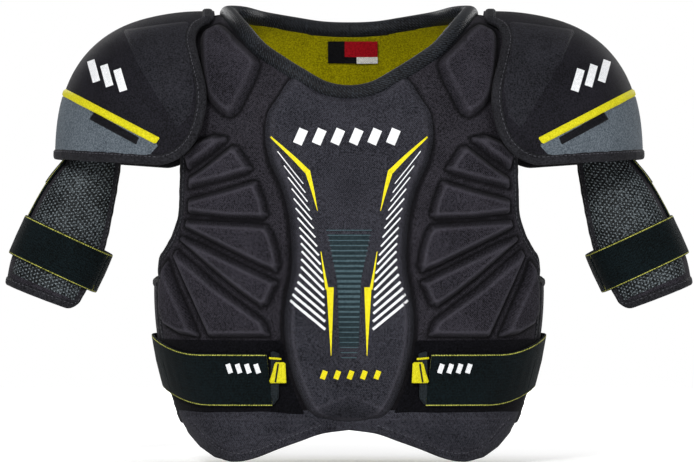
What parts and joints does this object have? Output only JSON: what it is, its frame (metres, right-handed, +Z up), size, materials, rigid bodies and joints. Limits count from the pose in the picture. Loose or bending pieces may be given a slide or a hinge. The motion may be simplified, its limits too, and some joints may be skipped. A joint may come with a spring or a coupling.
{
  "type": "ice hockey shoulder pads",
  "caption": "Padded hockey shoulder pads: a vest with moulded chest pads, shoulder caps that lift, upper-arm guards, a back that hinges open and elastic straps.",
  "frame": {"origin": "middle of the shoulder line, at the height where the pads rest on the wearer's shoulders", "axes": "+X to the wearer's left, which is right in a front view; +Y from front to back; +Z up"},
  "size_m": [0.6926, 0.2669, 0.4574],
  "materials": {
    "shell": "fine woven polyester over foam, matt",
    "pad": "fine woven polyester moulded over foam, matt",
    "liner": "brushed knit",
    "label": "satin woven label",
    "collar": "smooth stretch knit",
    "plastic": "moulded polyethylene",
    "loop": "brushed loop pile",
    "elastic": "ribbed elastic webbing",
    "accent": "smooth coated fabric",
    "grey_panel": "coated fabric",
    "cap_shell": "knit over a moulded cap",
    "binding": "folded knit binding",
    "spacer_mesh": "open spacer mesh"
  },
  "bodies": {
    "chest": {"chest_panel": "shell", "chest_liner": "liner", "yoke_panel": "shell", "yoke_liner": "liner", "neck_label": "label", "collar_roll": "collar", "chest_pad_1_left": "pad", "chest_pad_1_right": "pad", "chest_pad_2_left": "pad", "chest_pad_2_right": "pad", "chest_pad_3_left": "pad", "chest_pad_3_right": "pad", "chest_pad_4_left": "pad", "chest_pad_4_right": "pad", "chest_pad_5_left": "pad", "chest_pad_5_right": "pad", "chest_pad_6_left": "pad", "chest_pad_6_right": "pad", "chest_pad_7_left": "pad", "chest_pad_7_right": "pad", "clavicle_pad_left": "pad", "clavicle_pad_right": "pad", "sternum_plate": "plastic", "sternum_pad": "pad", "loop_patch_left": "loop", "loop_patch_right": "loop", "belly_guard": "shell", "scapula_pad_left": "pad", "scapula_pad_right": "pad"},
    "back": {"back_panel": "shell", "back_liner": "liner", "spine_pad": "pad", "side_wing_left": "shell", "side_wing_right": "shell"},
    "waist_strap_left": {"waist_strap_side_left": "elastic"},
    "strap_end_left": {"waist_strap_front_left": "elastic", "pull_tab_left": "accent"},
    "cap_left": {"cap_cover_left": "cap_shell", "cap_binding_left": "binding", "cap_stripe_left": "accent", "cap_lower_panel_left": "grey_panel", "cap_plate_left": "plastic"},
    "hanger_left": {"arm_hanger_left": "elastic"},
    "arm_left": {"arm_guard_left": "spacer_mesh", "arm_plate_left": "plastic", "arm_strap_band_left": "elastic"},
    "arm_flap_left": {"arm_strap_flap_left": "elastic"},
    "waist_strap_right": {"waist_strap_side_right": "elastic"},
    "strap_end_right": {"waist_strap_front_right": "elastic", "pull_tab_right": "accent"},
    "cap_right": {"cap_cover_right": "cap_shell", "cap_binding_right": "binding", "cap_stripe_right": "accent", "cap_lower_panel_right": "grey_panel", "cap_plate_right": "plastic"},
    "hanger_right": {"arm_hanger_right": "elastic"},
    "arm_right": {"arm_guard_right": "spacer_mesh", "arm_plate_right": "plastic", "arm_strap_band_right": "elastic"},
    "arm_flap_right": {"arm_strap_flap_right": "elastic"}
  },
  "joints": [
    {"name": "back_open", "type": "hinge", "parent": "chest", "child": "back", "pos_m": [0, 0.112, -0.143], "axis": [1, 0, 0], "range_deg": [0, 28], "stiffness_Nm_per_rad": 0.6, "springref_deg": -20.05},
    {"name": "waist_strap_swing_left", "type": "hinge", "parent": "back", "child": "waist_strap_left", "pos_m": [0.1652, 0.0704, -0.3185], "axis": [0.1839, 0.0357, 0.9823], "range_deg": [0, 84]},
    {"name": "waist_strap_peel_left", "type": "hinge", "parent": "waist_strap_left", "child": "strap_end_left", "pos_m": [0.1845, -0.0532, -0.3257], "axis": [0.2238, -0.0259, 0.9743], "range_deg": [0, 100]},
    {"name": "cap_lift_left", "type": "hinge", "parent": "chest", "child": "cap_left", "pos_m": [0.136, 0, 0.031], "axis": [0, -1, 0], "range_deg": [0, 40]},
    {"name": "arm_flex_left", "type": "hinge", "parent": "cap_left", "child": "hanger_left", "pos_m": [0.247, 0, -0.052], "axis": [1, 0, 0], "range_deg": [-9, 9]},
    {"name": "arm_swing_left", "type": "hinge", "parent": "hanger_left", "child": "arm_left", "pos_m": [0.247, 0, -0.088], "axis": [0, 1, 0], "range_deg": [0, 12], "stiffness_Nm_per_rad": 0.15, "springref_deg": -34.38},
    {"name": "arm_strap_open_left", "type": "hinge", "parent": "arm_left", "child": "arm_flap_left", "pos_m": [0.3317, 0.0246, -0.1934], "axis": [0.4078, 0.012, -0.913], "range_deg": [0, 90]},
    {"name": "waist_strap_swing_right", "type": "hinge", "parent": "back", "child": "waist_strap_right", "pos_m": [-0.1652, 0.0704, -0.3185], "axis": [0.1839, -0.0357, -0.9823], "range_deg": [0, 84]},
    {"name": "waist_strap_peel_right", "type": "hinge", "parent": "waist_strap_right", "child": "strap_end_right", "pos_m": [-0.1845, -0.0532, -0.3257], "axis": [0.2238, 0.0259, -0.9743], "range_deg": [0, 100]},
    {"name": "cap_lift_right", "type": "hinge", "parent": "chest", "child": "cap_right", "pos_m": [-0.136, 0, 0.031], "axis": [0, 1, 0], "range_deg": [0, 40]},
    {"name": "arm_flex_right", "type": "hinge", "parent": "cap_right", "child": "hanger_right", "pos_m": [-0.247, 0, -0.052], "axis": [1, 0, 0], "range_deg": [-9, 9]},
    {"name": "arm_swing_right", "type": "hinge", "parent": "hanger_right", "child": "arm_right", "pos_m": [-0.247, 0, -0.088], "axis": [0, -1, 0], "range_deg": [0, 12], "stiffness_Nm_per_rad": 0.15, "springref_deg": -34.38},
    {"name": "arm_strap_open_right", "type": "hinge", "parent": "arm_right", "child": "arm_flap_right", "pos_m": [-0.3317, 0.0246, -0.1934], "axis": [0.4078, -0.012, 0.913], "range_deg": [0, 90]}
  ],
  "couplings": [
    {"joint": "waist_strap_swing_left", "follows": "back_open", "ratio": 3},
    {"joint": "waist_strap_swing_right", "follows": "back_open", "ratio": 3}
  ]
}
